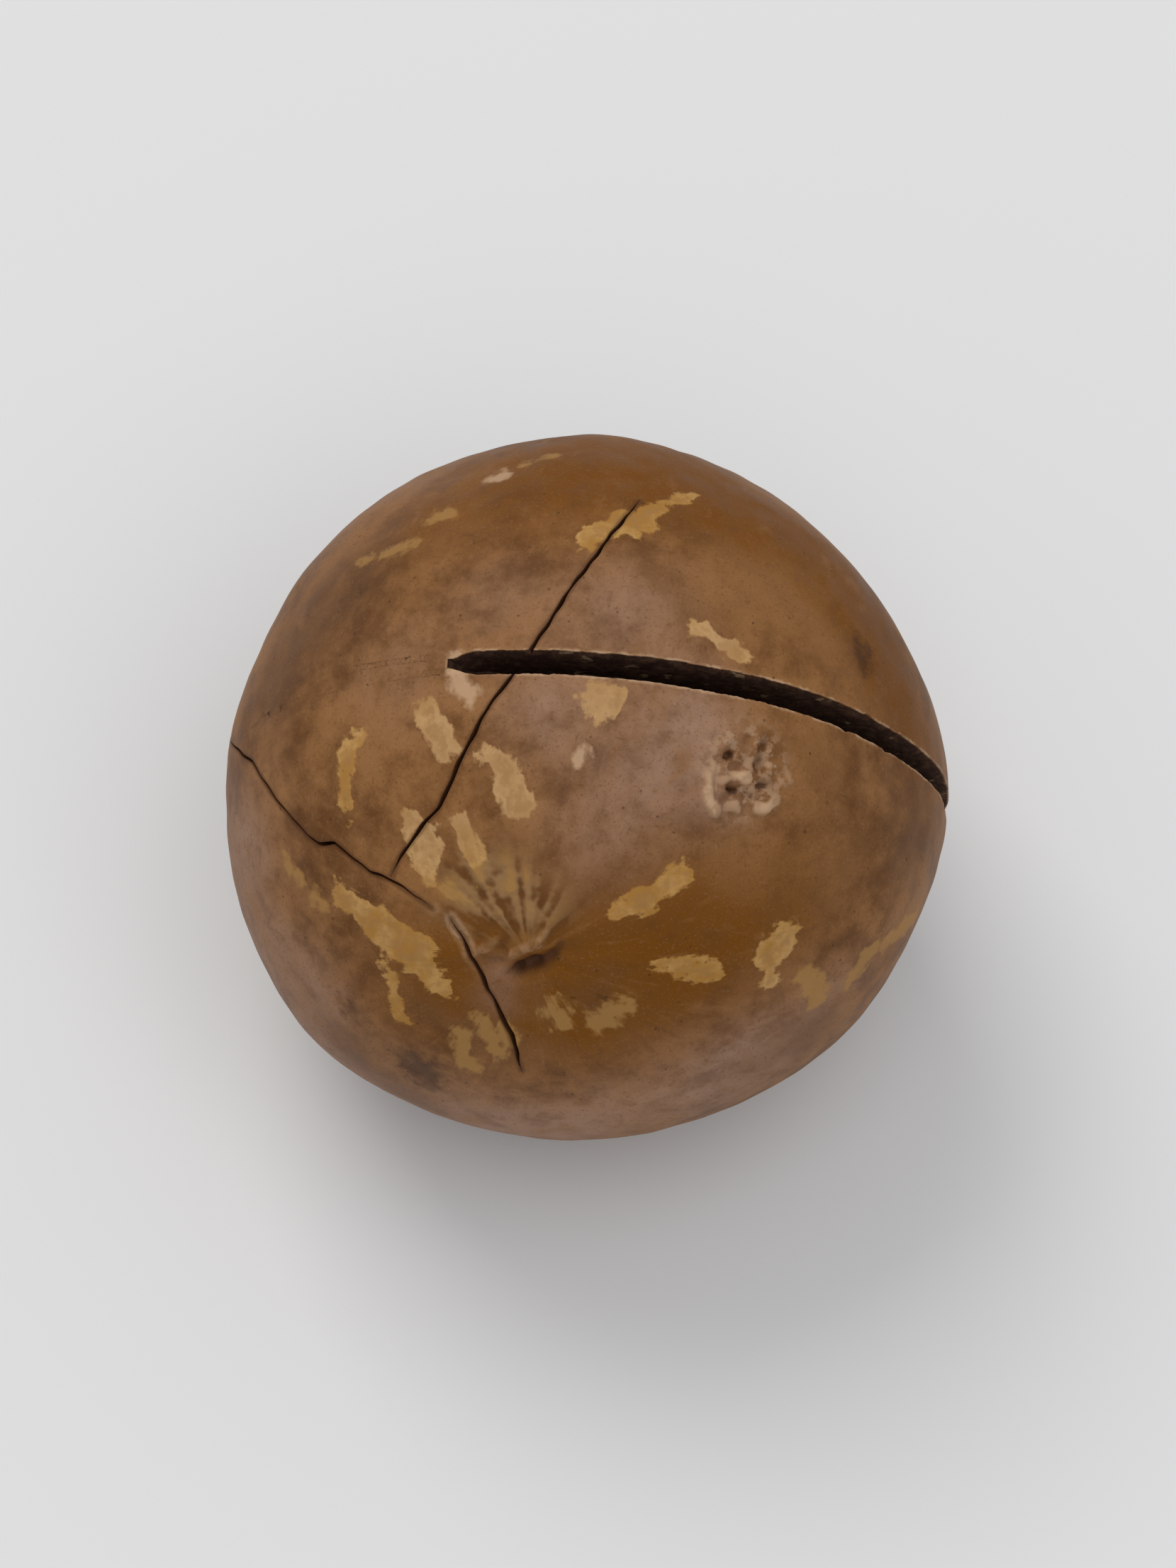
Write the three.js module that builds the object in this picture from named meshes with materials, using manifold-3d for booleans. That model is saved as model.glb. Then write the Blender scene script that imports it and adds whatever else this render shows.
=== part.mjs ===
// A macadamia nut in its shell, roasted and slit with a thin saw.
// Millimetres, +Z up. The origin is under the middle of the nut, on the surface that it rests on.
import * as THREE from "three";
import { mergeVertices } from "three/addons/utils/BufferGeometryUtils.js";
import Module from "manifold-3d";

// The nut is nearly round: widest from side to side, along the saw cut.
const WIDTH = 25.4;
const DEPTH = 24.8;
const HEIGHT = 24.6;
const FLAT_SPOT_DEPTH = 0.5; // worn off the bottom, which leaves a round flat about 7 mm across

// The saw cut lies in a plane through the middle, leaning back a little. Angles along it are
// counted from the crown to the right, and angles across it from the cut to the back.
const CUT_LEAN = 6.2;
const CUT_WIDTH = 0.8;
const CUT_DEPTH = 2.2;
const CUT_START = -23;
const CUT_END = 125;
const CUT_RAMP = 9; // the floor rises to the surface over this angle at each end
const CUT_STEPS = 44;
const CUT_OVERSHOOT = 1.5; // the cutting disc stands clear of the nut

// Broad swellings and flats, placed by compass bearing from +X and by height, all in degrees.
const SWELLS = [
  { bearing: -137, height: -17, spread: 32, rise: 0.75 }, // full shoulder, low on the left
  { bearing: 39, height: 15, spread: 30, rise: -0.4 }, // flatter cheek at the back on the right
  { bearing: 178, height: 11, spread: 9, rise: 0.12 }, // slight corner on the left
  { bearing: -60, height: 5, spread: 24, rise: -0.12 },
  { bearing: 120, height: -25, spread: 34, rise: 0.15 },
  { bearing: 100, height: 55, spread: 20, rise: -0.1 },
];

// The nub is the puckered tip of the shell: a low boss with ribs round it, raised folds, and hollows.
// Lines on the nub and the scar are in degrees right and up from the middle, as seen from outside.
const NUB = { along: -9, across: -47.5 };
const NUB_BOSS = { spread: 9, rise: 0.25 };
const NUB_RIBS = { count: 11, rise: 0.05, from: 9, to: 34 };
const NUB_FOLDS = [
  // the dent, from its pointed end to its hooked end
  { line: [[-2.7, -4], [-1.8, -3.3]], spread: 0.8, rise: -0.2 },
  { line: [[-1.1, -2.8], [0.6, -1.7]], spread: 1.35, rise: -0.45 },
  { line: [[1.6, -1.2], [2.9, -0.1]], spread: 1.1, rise: -0.26 },
  { line: [[3.8, 0.8], [4.6, 2.5]], spread: 0.8, rise: -0.2 },
  { line: [[4.2, -0.4], [3.2, -1.8]], spread: 1.2, rise: -0.12 },
  // smaller hollows
  { line: [[-7.2, -2.8], [-4.4, -2]], spread: 0.9, rise: -0.16 },
  { line: [[-4.4, 0.4], [-4.1, 1]], spread: 0.9, rise: -0.16 },
  // the lip over the dent
  { line: [[-3.4, -2.5], [-2.5, -0.4]], spread: 0.8, rise: 0.1 },
  { line: [[-2.2, 0.2], [0.6, 2]], spread: 1.1, rise: 0.16 },
  { line: [[1.2, 2.6], [2.1, 4.4]], spread: 0.8, rise: 0.12 },
  // folds beside and under it, and three that run up from it
  { line: [[-8.9, -2.4], [-7.5, -0.8]], spread: 0.8, rise: 0.1 },
  { line: [[-7, -0.4], [-5.4, 1.4]], spread: 1, rise: 0.13 },
  { line: [[-4.9, -7.2], [-1, -5.8], [2.9, -3.7]], spread: 1.2, rise: 0.06 },
  { line: [[-7.5, 11.5], [-7.3, 5]], spread: 0.9, rise: 0.06 },
  { line: [[-3.9, 8.2], [-4.1, 5.2]], spread: 0.8, rise: 0.06 },
  { line: [[-0.9, 9.3], [-0.3, 4.6]], spread: 0.8, rise: 0.06 },
];

// The scar is where the stalk was: curled hard ridges, with small pits and a groove between them.
const SCAR = { along: 27.5, across: -13.5 };
const SCAR_RIDGES = [
  { line: [[-2.6, 4.2], [-4.8, 3.4]], radius: 0.16, rise: 0.08 },
  { line: [[-4.8, 3.4], [-6.6, 1.9]], radius: 0.2, rise: 0.13 },
  { line: [[-6.6, 1.9], [-7.7, 0.2], [-7.9, -1]], radius: 0.27, rise: 0.19 },
  { line: [[-3.9, 1.3], [-1.6, 0.4]], radius: 0.17, rise: 0.1 },
  { line: [[-1.6, 0.4], [-0.3, -1.4]], radius: 0.24, rise: 0.17 },
  { line: [[-5.6, -2.4], [-4.9, -3.8]], radius: 0.2, rise: 0.11 },
  { line: [[-2.2, -6], [-0.9, -7.1], [0.6, -7]], radius: 0.26, rise: 0.16 },
  { line: [[5.6, -4.6], [4.6, -7]], radius: 0.17, rise: 0.08 },
  { line: [[4.3, -0.4], [3.8, -2.6]], radius: 0.15, rise: 0.08 },
];
const SCAR_PITS = [
  { line: [[0, 3.5], [0.4, 3]], radius: 0.13, depth: 0.24 },
  { line: [[-3.8, -0.6], [-3.2, -1.3]], radius: 0.13, depth: 0.24 },
  { line: [[-2.2, -3.3], [-1.9, -3.9]], radius: 0.11, depth: 0.14 },
  { line: [[0.5, -3.8], [1.1, -4.5]], radius: 0.13, depth: 0.22 },
  { line: [[6.2, 0.4], [3.9, -0.3], [2.1, -1.2]], radius: 0.15, depth: 0.12 },
  { line: [[2.1, -1.2], [1.2, -3]], radius: 0.14, depth: 0.1 },
];
const ROD_CAP_STEPS = 3;
const ROD_SIDES = 8;

// Hairline cracks in the shell: places along and across the cut, in degrees.
const CRACK_WIDTH = 0.2;
const CRACK_DEPTH = 0.35;
const CRACK_TIP = 0.35; // share of the width and depth that is left at a tip
const CRACK_OVERSHOOT = 0.2;
const CRACKS = [
  [[7.5, 35], [3, 26.5], [-1.5, 18], [-5, 10.5], [-8.5, 3.5], [-12, -2.5], [-15.5, -7.5], [-18.5, -13],
    [-21.5, -18], [-24.5, -23], [-30.5, -27.5], [-34, -30], [-37, -33]],
  [[-80, 0], [-67, -7.5], [-62.5, -13], [-57.5, -19], [-54, -23], [-51.5, -25], [-48, -25.5],
    [-44.5, -29], [-41.5, -31.5], [-37, -33.5], [-33.5, -36], [-29.5, -39]],
  [[-26, -41], [-24, -45.5], [-22, -51.5], [-21, -57], [-20, -63.5], [-23, -72.5]],
];

// The faces: rings round the nub, closer together near it.
const COLUMNS = 72;
const RINGS = 50;
const RING_CROWDING = 0.7;

const DEGREE = Math.PI / 180;
const cutAcross = new THREE.Vector3(0, Math.cos(CUT_LEAN * DEGREE), Math.sin(CUT_LEAN * DEGREE));
const cutUp = new THREE.Vector3(0, -Math.sin(CUT_LEAN * DEGREE), Math.cos(CUT_LEAN * DEGREE));
const cutAlong = new THREE.Vector3(1, 0, 0);

// A direction from the middle of the nut, by its angles along and across the cut.
function towards(along, across) {
  const level = Math.cos(across * DEGREE);
  return new THREE.Vector3()
    .addScaledVector(cutAlong, Math.sin(along * DEGREE) * level)
    .addScaledVector(cutUp, Math.cos(along * DEGREE) * level)
    .addScaledVector(cutAcross, Math.sin(across * DEGREE));
}

// A direction by compass bearing and height.
function bearingTo(bearing, height) {
  const level = Math.cos(height * DEGREE);
  return new THREE.Vector3(
    Math.cos(bearing * DEGREE) * level,
    Math.sin(bearing * DEGREE) * level,
    Math.sin(height * DEGREE),
  );
}

const angleBetween = (a, b) => Math.acos(THREE.MathUtils.clamp(a.dot(b), -1, 1)) / DEGREE;
const bell = (distance, spread) => Math.exp(-((distance / spread) ** 2));

// Axes of a patch of the surface: right and up as seen from outside, with the world's up.
function patchAxes(centre) {
  const right = new THREE.Vector3(0, 0, 1).cross(centre).normalize();
  return { centre, right, up: centre.clone().cross(right) };
}

const nubPatch = patchAxes(towards(NUB.along, NUB.across));
const scarPatch = patchAxes(towards(SCAR.along, SCAR.across));

// Where a direction lies on a patch: degrees from its centre, and the turn round it.
function placeOnPatch(patch, direction) {
  const distance = angleBetween(patch.centre, direction);
  const turn = Math.atan2(direction.dot(patch.up), direction.dot(patch.right));
  return { distance, turn };
}

// The direction that lies on a patch so many degrees to the right and up.
function directionOnPatch(patch, [right, up]) {
  const distance = Math.hypot(right, up) * DEGREE;
  const turn = Math.atan2(up, right);
  return patch.centre.clone().multiplyScalar(Math.cos(distance))
    .addScaledVector(patch.right, Math.sin(distance) * Math.cos(turn))
    .addScaledVector(patch.up, Math.sin(distance) * Math.sin(turn));
}

// The distance from a point of a patch to a line of straight pieces on it.
function distanceToLine(line, point) {
  const closest = new THREE.Vector3();
  let nearest = Infinity;
  for (let i = 1; i < line.length; i += 1) {
    const piece = new THREE.Line3(new THREE.Vector3(...line[i - 1], 0), new THREE.Vector3(...line[i], 0));
    piece.closestPointToPoint(point, true, closest);
    nearest = Math.min(nearest, closest.distanceTo(point));
  }
  return nearest;
}

// Ribs run out from the nub all round, and fade at both ends.
function ribRelief(distance, turn) {
  const begin = THREE.MathUtils.smoothstep(distance, 0, NUB_RIBS.from);
  const end = 1 - THREE.MathUtils.smoothstep(distance, NUB_RIBS.from, NUB_RIBS.to);
  return NUB_RIBS.rise * begin * end * Math.cos(NUB_RIBS.count * turn);
}

// A boss with ribs, raised folds and hollows.
function nubRelief(direction) {
  const { distance, turn } = placeOnPatch(nubPatch, direction);
  const point = new THREE.Vector3(distance * Math.cos(turn), distance * Math.sin(turn), 0);
  let relief = NUB_BOSS.rise * bell(distance, NUB_BOSS.spread) + ribRelief(distance, turn);
  for (const fold of NUB_FOLDS) {
    relief += fold.rise * bell(distanceToLine(fold.line, point), fold.spread);
  }
  return relief;
}

// Distance from the middle to the uncut surface: an ellipsoid, its swellings and its nub.
function surfaceRadius(direction) {
  let radius = 0.5 / Math.hypot(direction.x / WIDTH, direction.y / DEPTH, direction.z / HEIGHT);
  for (const swell of SWELLS) {
    const distance = angleBetween(direction, bearingTo(swell.bearing, swell.height));
    radius += swell.rise * bell(distance, swell.spread);
  }
  return radius + nubRelief(direction);
}

// Turns a closed geometry into a solid that can be joined and cut.
function toSolid(wasm, geometry) {
  const bare = geometry.clone();
  bare.deleteAttribute("normal");
  bare.deleteAttribute("uv");
  const merged = mergeVertices(bare);
  const mesh = new wasm.Mesh({
    numProp: 3,
    vertProperties: new Float32Array(merged.attributes.position.array),
    triVerts: new Uint32Array(merged.index.array),
  });
  return new wasm.Manifold(mesh);
}

function toGeometry(solid) {
  const mesh = solid.getMesh();
  const geometry = new THREE.BufferGeometry();
  geometry.setAttribute("position", new THREE.BufferAttribute(mesh.vertProperties, mesh.numProp));
  geometry.setIndex(new THREE.BufferAttribute(mesh.triVerts, 1));
  return geometry;
}

// The whole shell before it is cut: a sphere with its pole at the nub, drawn to the radius.
function shellGeometry() {
  const geometry = new THREE.SphereGeometry(1, COLUMNS, RINGS);
  const toNub = new THREE.Quaternion().setFromUnitVectors(new THREE.Vector3(0, 1, 0), nubPatch.centre);
  const positions = geometry.attributes.position;
  const point = new THREE.Vector3();
  for (let i = 0; i < positions.count; i += 1) {
    point.fromBufferAttribute(positions, i).normalize();
    const fromPole = Math.acos(THREE.MathUtils.clamp(point.y, -1, 1));
    const crowded = fromPole - RING_CROWDING * Math.sin(fromPole);
    point.setFromSphericalCoords(1, crowded, Math.atan2(point.x, point.z)).applyQuaternion(toNub);
    point.multiplyScalar(surfaceRadius(point));
    positions.setXYZ(i, point.x, point.y, point.z);
  }
  return geometry;
}

// The slot's floor follows the surface at its depth and curves up to it at both ends.
function cutFloorRadius(along) {
  const fromEnd = Math.min(along - CUT_START, CUT_END - along);
  const ramp = Math.min(fromEnd / CUT_RAMP, 1);
  return surfaceRadius(towards(along, 0)) - CUT_DEPTH * Math.sqrt(1 - (1 - ramp) ** 2);
}

// What the saw takes away: a flat plate with the slot's floor as its inner edge.
function sawCutGeometry() {
  const outline = new THREE.Shape();
  const outer = WIDTH / 2 + CUT_OVERSHOOT;
  for (let step = 0; step <= CUT_STEPS; step += 1) {
    const along = CUT_START + ((CUT_END - CUT_START) * step) / CUT_STEPS;
    const radius = cutFloorRadius(along);
    outline[step === 0 ? "moveTo" : "lineTo"](
      radius * Math.sin(along * DEGREE),
      radius * Math.cos(along * DEGREE),
    );
  }
  const fromX = Math.PI / 2 - CUT_END * DEGREE;
  const toX = Math.PI / 2 - CUT_START * DEGREE;
  outline.absarc(0, 0, outer, fromX, toX, false);
  outline.closePath();
  const geometry = new THREE.ExtrudeGeometry(outline, {
    depth: CUT_WIDTH,
    bevelEnabled: false,
    curveSegments: CUT_STEPS / 2,
  });
  geometry.translate(0, 0, -CUT_WIDTH / 2);
  const across = cutAcross.clone().negate();
  return geometry.applyMatrix4(new THREE.Matrix4().makeBasis(cutAlong, cutUp, across));
}

// What a crack takes away: a narrow wedge along its line, with a pointed floor and thin tips.
function crackGeometry(line) {
  const ways = line.map(([along, across]) => towards(along, across));
  const vertices = [];
  const indices = [];
  ways.forEach((way, i) => {
    const before = ways[Math.max(i - 1, 0)];
    const after = ways[Math.min(i + 1, ways.length - 1)];
    const side = after.clone().sub(before).cross(way).normalize();
    const share = i === 0 || i === ways.length - 1 ? CRACK_TIP : 1;
    const radius = surfaceRadius(way);
    const flare = 1 + CRACK_OVERSHOOT / CRACK_DEPTH;
    const half = (CRACK_WIDTH / 2) * share * flare;
    const top = way.clone().multiplyScalar(radius + CRACK_OVERSHOOT);
    const bottom = way.clone().multiplyScalar(radius - CRACK_DEPTH * share);
    vertices.push(...top.clone().addScaledVector(side, -half).toArray());
    vertices.push(...top.addScaledVector(side, half).toArray());
    vertices.push(...bottom.toArray());
  });
  const corners = 3;
  for (let i = 0; i < ways.length - 1; i += 1) {
    for (let corner = 0; corner < corners; corner += 1) {
      const a = i * corners + corner;
      const b = i * corners + ((corner + 1) % corners);
      indices.push(a, b, b + corners, a, b + corners, a + corners);
    }
  }
  const last = (ways.length - 1) * corners;
  indices.push(0, 2, 1, last, last + 1, last + 2);
  const geometry = new THREE.BufferGeometry();
  geometry.setAttribute("position", new THREE.Float32BufferAttribute(vertices, 3));
  geometry.setIndex(indices);
  return geometry;
}

// A rod with round ends from one point to another.
function rodGeometry(from, to, radius) {
  const run = to.clone().sub(from);
  const geometry = new THREE.CapsuleGeometry(radius, run.length(), ROD_CAP_STEPS, ROD_SIDES);
  const turned = new THREE.Quaternion().setFromUnitVectors(new THREE.Vector3(0, 1, 0), run.normalize());
  const middle = from.clone().lerp(to, 0.5);
  return geometry.applyQuaternion(turned).translate(middle.x, middle.y, middle.z);
}

// The point under a place on the scar, so deep below the surface.
function belowScar(place, depth) {
  const way = directionOnPatch(scarPatch, place);
  return way.clone().multiplyScalar(surfaceRadius(way) - depth);
}

// A chain of rods along a line of the scar, whose axes lie so deep below the surface.
function rodGeometries(line, depth, radius) {
  const points = line.map((place) => belowScar(place, depth));
  return points.slice(1).map((point, i) => rodGeometry(points[i], point, radius));
}

// What is worn off below the flat spot.
function wornGeometry() {
  const flatHeight = FLAT_SPOT_DEPTH - HEIGHT / 2;
  const geometry = new THREE.BoxGeometry(WIDTH, WIDTH, HEIGHT);
  return geometry.translate(0, 0, flatHeight - HEIGHT / 2);
}

// Sets the nut down with the middle of its box's underside at the origin.
function setDown(geometry) {
  geometry.computeBoundingBox();
  const middle = geometry.boundingBox.getCenter(new THREE.Vector3());
  geometry.translate(-middle.x, -middle.y, -geometry.boundingBox.min.z);
  geometry.computeVertexNormals();
  return geometry;
}

function nutGeometry(wasm) {
  let nut = toSolid(wasm, shellGeometry());
  for (const { line, radius, rise } of SCAR_RIDGES) {
    for (const rod of rodGeometries(line, radius - rise, radius)) {
      nut = nut.add(toSolid(wasm, rod));
    }
  }
  for (const { line, radius, depth } of SCAR_PITS) {
    for (const rod of rodGeometries(line, depth - radius, radius)) {
      nut = nut.subtract(toSolid(wasm, rod));
    }
  }
  nut = nut.subtract(toSolid(wasm, sawCutGeometry()));
  for (const line of CRACKS) {
    nut = nut.subtract(toSolid(wasm, crackGeometry(line)));
  }
  nut = nut.subtract(toSolid(wasm, wornGeometry()));
  return setDown(toGeometry(nut));
}

const wasm = await Module();
wasm.setup();

const shellMaterial = new THREE.MeshStandardMaterial({ color: 0x8a5f3c, roughness: 0.42, metalness: 0 });
const nutMesh = new THREE.Mesh(nutGeometry(wasm), shellMaterial);
nutMesh.name = "nut";

const group = new THREE.Group();
group.add(nutMesh);
export default group;
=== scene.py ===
import bpy
import numpy as np
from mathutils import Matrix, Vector


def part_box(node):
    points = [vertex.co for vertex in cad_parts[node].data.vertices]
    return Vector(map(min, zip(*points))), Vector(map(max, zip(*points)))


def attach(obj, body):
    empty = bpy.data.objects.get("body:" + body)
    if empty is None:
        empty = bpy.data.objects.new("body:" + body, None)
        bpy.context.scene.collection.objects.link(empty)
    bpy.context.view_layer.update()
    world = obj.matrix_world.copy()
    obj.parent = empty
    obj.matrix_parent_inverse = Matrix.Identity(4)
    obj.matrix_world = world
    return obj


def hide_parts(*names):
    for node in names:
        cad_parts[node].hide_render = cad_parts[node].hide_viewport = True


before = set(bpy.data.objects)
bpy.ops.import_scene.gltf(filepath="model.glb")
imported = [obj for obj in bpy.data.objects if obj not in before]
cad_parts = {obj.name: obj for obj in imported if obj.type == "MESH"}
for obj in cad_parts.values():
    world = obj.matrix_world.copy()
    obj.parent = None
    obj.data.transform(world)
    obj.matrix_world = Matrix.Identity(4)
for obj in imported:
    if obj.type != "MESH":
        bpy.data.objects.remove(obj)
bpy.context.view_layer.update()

# The round form of the nut. One hard woody shell, grown nearly round and a little wider than
# deep, with a full shoulder low on the left and a flatter cheek at the back on the right.
# Lengths are in millimetres here, and become metres when the mesh is made.
MM = 0.001
NUT_WIDTH = 25.4
NUT_DEPTH = 24.8
NUT_HEIGHT = 24.6
MEAN_RADIUS = 12.45
CUT_LEAN = np.radians(6.2)
SWELLS = (
    # bearing, height, spread (degrees), rise (mm)
    (-137, -17, 32, 0.75),
    (39, 15, 30, -0.4),
    (178, 11, 9, 0.12),
    (-60, 5, 24, -0.12),
    (120, -25, 34, 0.15),
    (100, 55, 20, -0.1),
)
RIPPLES = (
    # wavelength (mm), rise (mm), seed
    (7.0, 0.035, 11),
    (3.2, 0.016, 12),
    (1.3, 0.007, 13),
)
WAVES_IN_RIPPLE = 24

cut_side = np.array([1.0, 0.0, 0.0])
cut_up = np.array([0.0, -np.sin(CUT_LEAN), np.cos(CUT_LEAN)])
cut_back = np.array([0.0, np.cos(CUT_LEAN), np.sin(CUT_LEAN)])


def towards(along, across):
    """Unit vectors from the middle of the nut at two angles in degrees: sin(along)cos(across) to
    the side, cos(along)cos(across) up the cut's plane, sin(across) out of it to the back."""
    along, across = np.radians(along), np.radians(across)
    side = (np.sin(along) * np.cos(across))[..., None] * cut_side
    up = (np.cos(along) * np.cos(across))[..., None] * cut_up
    return side + up + (np.sin(across) + 0 * along)[..., None] * cut_back


def bearing_to(bearing, height):
    """The unit vector at a compass bearing from +X and a height above the level, in degrees."""
    bearing, height = np.radians(bearing), np.radians(height)
    level = np.cos(height)
    return np.array([np.cos(bearing) * level, np.sin(bearing) * level, np.sin(height)])


def degrees_from(ways, centre):
    """The angle between each way and a centre: the arc cosine of their product."""
    return np.degrees(np.arccos(np.clip(ways @ centre, -1, 1)))


def bell(distance, spread):
    """exp(-(distance / spread)^2)."""
    return np.exp(-((distance / spread) ** 2))


def ease(value, low, high):
    """0 below low, 1 above high, and 3t^2 - 2t^3 between them."""
    t = np.clip((value - low) / (high - low), 0, 1)
    return t * t * (3 - 2 * t)


def ripple(points, wavelength, rise, seed):
    """A sum of sine waves of one length in seeded directions through space, scaled to a typical
    height of rise."""
    draw = np.random.default_rng(seed)
    waves = draw.normal(size=(WAVES_IN_RIPPLE, 3))
    waves *= (2 * np.pi / wavelength) / np.linalg.norm(waves, axis=1, keepdims=True)
    phases = draw.uniform(0, 2 * np.pi, WAVES_IN_RIPPLE)
    return rise * np.sqrt(2 / WAVES_IN_RIPPLE) * np.sin(points @ waves.T + phases).sum(-1)


def patch_axes(centre):
    """The centre of a patch of the surface, with its right and its up as seen from outside."""
    right = np.cross([0, 0, 1], centre)
    right /= np.linalg.norm(right)
    return centre, right, np.cross(centre, right)


def place_on_patch(patch, ways):
    """Degrees from the patch's centre, and the turn round it: atan2(up, right)."""
    centre, right, up = patch
    return degrees_from(ways, centre), np.arctan2(ways @ up, ways @ right)


# The nub. The tip of the shell, puckered as it grew: a low boss with a hooked dent and smaller
# hollows in it, lips and folds that curl round them, and faint ribs that run out all round.
NUB_PLACE = (-9, -47.5)  # degrees along and across the cut
BOSS_SPREAD = 9  # degrees
BOSS_RISE = 0.25
NUB_RIBS = 11
RIB_RISE = 0.05
RIB_REACH = (9, 34)  # degrees from the nub: where the ribs are full, and where they end
NUB_FOLDS = (
    # line (degrees right and up from the middle of the nub), spread (degrees), rise (mm)
    (((-2.7, -4), (-1.8, -3.3)), 0.8, -0.2),
    (((-1.1, -2.8), (0.6, -1.7)), 1.35, -0.45),
    (((1.6, -1.2), (2.9, -0.1)), 1.1, -0.26),
    (((3.8, 0.8), (4.6, 2.5)), 0.8, -0.2),
    (((4.2, -0.4), (3.2, -1.8)), 1.2, -0.12),
    (((-7.2, -2.8), (-4.4, -2)), 0.9, -0.16),
    (((-4.4, 0.4), (-4.1, 1)), 0.9, -0.16),
    (((-3.4, -2.5), (-2.5, -0.4)), 0.8, 0.1),
    (((-2.2, 0.2), (0.6, 2)), 1.1, 0.16),
    (((1.2, 2.6), (2.1, 4.4)), 0.8, 0.12),
    (((-8.9, -2.4), (-7.5, -0.8)), 0.8, 0.1),
    (((-7, -0.4), (-5.4, 1.4)), 1.0, 0.13),
    (((-4.9, -7.2), (-1, -5.8), (2.9, -3.7)), 1.2, 0.06),
    (((-7.5, 11.5), (-7.3, 5)), 0.9, 0.06),
    (((-3.9, 8.2), (-4.1, 5.2)), 0.8, 0.06),
    (((-0.9, 9.3), (-0.3, 4.6)), 0.8, 0.06),
)

nub_patch = patch_axes(towards(*np.array(NUB_PLACE, float)))


def distance_on_patch(line, distance, turn):
    """Degrees from a line of straight pieces: the least of the distances to
    start + t (end - start), t held in 0 to 1."""
    at = np.stack([distance * np.cos(turn), distance * np.sin(turn)], -1)
    nearest = np.full(distance.shape, 180.0)
    for start, end in zip(np.array(line[:-1], float), np.array(line[1:], float)):
        run = end - start
        share = np.clip((at - start) @ run / (run @ run), 0, 1)
        nearest = np.minimum(nearest, np.linalg.norm(at - start - share[..., None] * run, axis=-1))
    return nearest


def fold_relief(ways):
    """The sum of bells across the folds and hollows."""
    place = place_on_patch(nub_patch, ways)
    return sum(rise * bell(distance_on_patch(line, *place), spread) for line, spread, rise in NUB_FOLDS)


def nub_relief(ways):
    """A bell-shaped boss, the folds, and cosine ribs that fade at both ends."""
    distance, turn = place_on_patch(nub_patch, ways)
    fade = ease(distance, 0, RIB_REACH[0]) * (1 - ease(distance, *RIB_REACH))
    ribs = RIB_RISE * fade * np.cos(NUB_RIBS * turn)
    return BOSS_RISE * bell(distance, BOSS_SPREAD) + fold_relief(ways) + ribs


# The scar. The place of the stalk: curled hard ridges with small pits and a groove between them,
# and a crust of finer bumps over it all.
SCAR_PLACE = (27.5, -13.5)  # degrees along and across the cut
SCAR_RIDGES = (
    # line (degrees right and up from the middle of the scar), radius, rise (mm)
    (((-2.6, 4.2), (-4.8, 3.4)), 0.16, 0.08),
    (((-4.8, 3.4), (-6.6, 1.9)), 0.2, 0.13),
    (((-6.6, 1.9), (-7.7, 0.2), (-7.9, -1)), 0.27, 0.19),
    (((-3.9, 1.3), (-1.6, 0.4)), 0.17, 0.1),
    (((-1.6, 0.4), (-0.3, -1.4)), 0.24, 0.17),
    (((-5.6, -2.4), (-4.9, -3.8)), 0.2, 0.11),
    (((-2.2, -6), (-0.9, -7.1), (0.6, -7)), 0.26, 0.16),
    (((5.6, -4.6), (4.6, -7)), 0.17, 0.08),
    (((4.3, -0.4), (3.8, -2.6)), 0.15, 0.08),
)
SCAR_PITS = (
    # line (degrees right and up), radius, depth (mm)
    (((-0.3, 3.7), (0.5, 3)), 0.1, 0.22),
    (((-3.9, -0.3), (-3.3, -1.5)), 0.12, 0.24),
    (((-2.2, -3), (-1.8, -4)), 0.12, 0.18),
    (((0.4, -3.7), (1.2, -4.6)), 0.11, 0.2),
    (((6.2, 0.4), (3.9, -0.3), (2.1, -1.2)), 0.15, 0.12),
    (((2.1, -1.2), (1.2, -3)), 0.14, 0.1),
)
PIT_WALL = (0.3, 1.5)  # where a pit's wall begins and ends, as shares of its radius
PIT_SHADE = 0.34
CRUST_REACH = (5.0, 10.0)  # degrees from the middle of the scar
CRUST_RIPPLE = (0.55, 0.05, 14)  # wavelength (mm), rise (mm), seed
LINE_RIPPLE = (0.6, 0.04, 15)
MM_PER_DEGREE = MEAN_RADIUS * np.pi / 180

scar_patch = patch_axes(towards(*np.array(SCAR_PLACE, float)))


def from_scar_line(line, ways):
    """Millimetres from a line of the scar, plus a ripple that makes what follows it uneven."""
    apart = distance_on_patch(line, *place_on_patch(scar_patch, ways)) * MM_PER_DEGREE
    return np.abs(apart + ripple(ways * MEAN_RADIUS, *LINE_RIPPLE))


def ridge_relief(ways):
    """The tops of sunk rods: sqrt(r^2 - d^2) - (r - rise), where above 0."""
    relief = np.zeros(ways.shape[:-1])
    for line, radius, rise in SCAR_RIDGES:
        rod = np.sqrt(np.clip(radius**2 - from_scar_line(line, ways) ** 2, 0, None))
        relief = np.maximum(relief, rod - (radius - rise))
    return relief


def pit_depth(ways):
    """The full depth inside each pit and groove, easing to 0 over its wall."""
    deep = np.zeros(ways.shape[:-1])
    for line, radius, depth in SCAR_PITS:
        deep = np.maximum(deep, depth * (1 - ease(from_scar_line(line, ways) / radius, *PIT_WALL)))
    return deep


def pit_shade(ways):
    """Bells round the pits and grooves, the wider of them where two meet."""
    return np.max([bell(from_scar_line(line, ways), PIT_SHADE) for line, _, _ in SCAR_PITS], axis=0)


def crust_share(ways):
    """1 near the middle of the scar, easing to 0 where its crust ends."""
    return 1 - ease(degrees_from(ways, scar_patch[0]), *CRUST_REACH)


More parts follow.
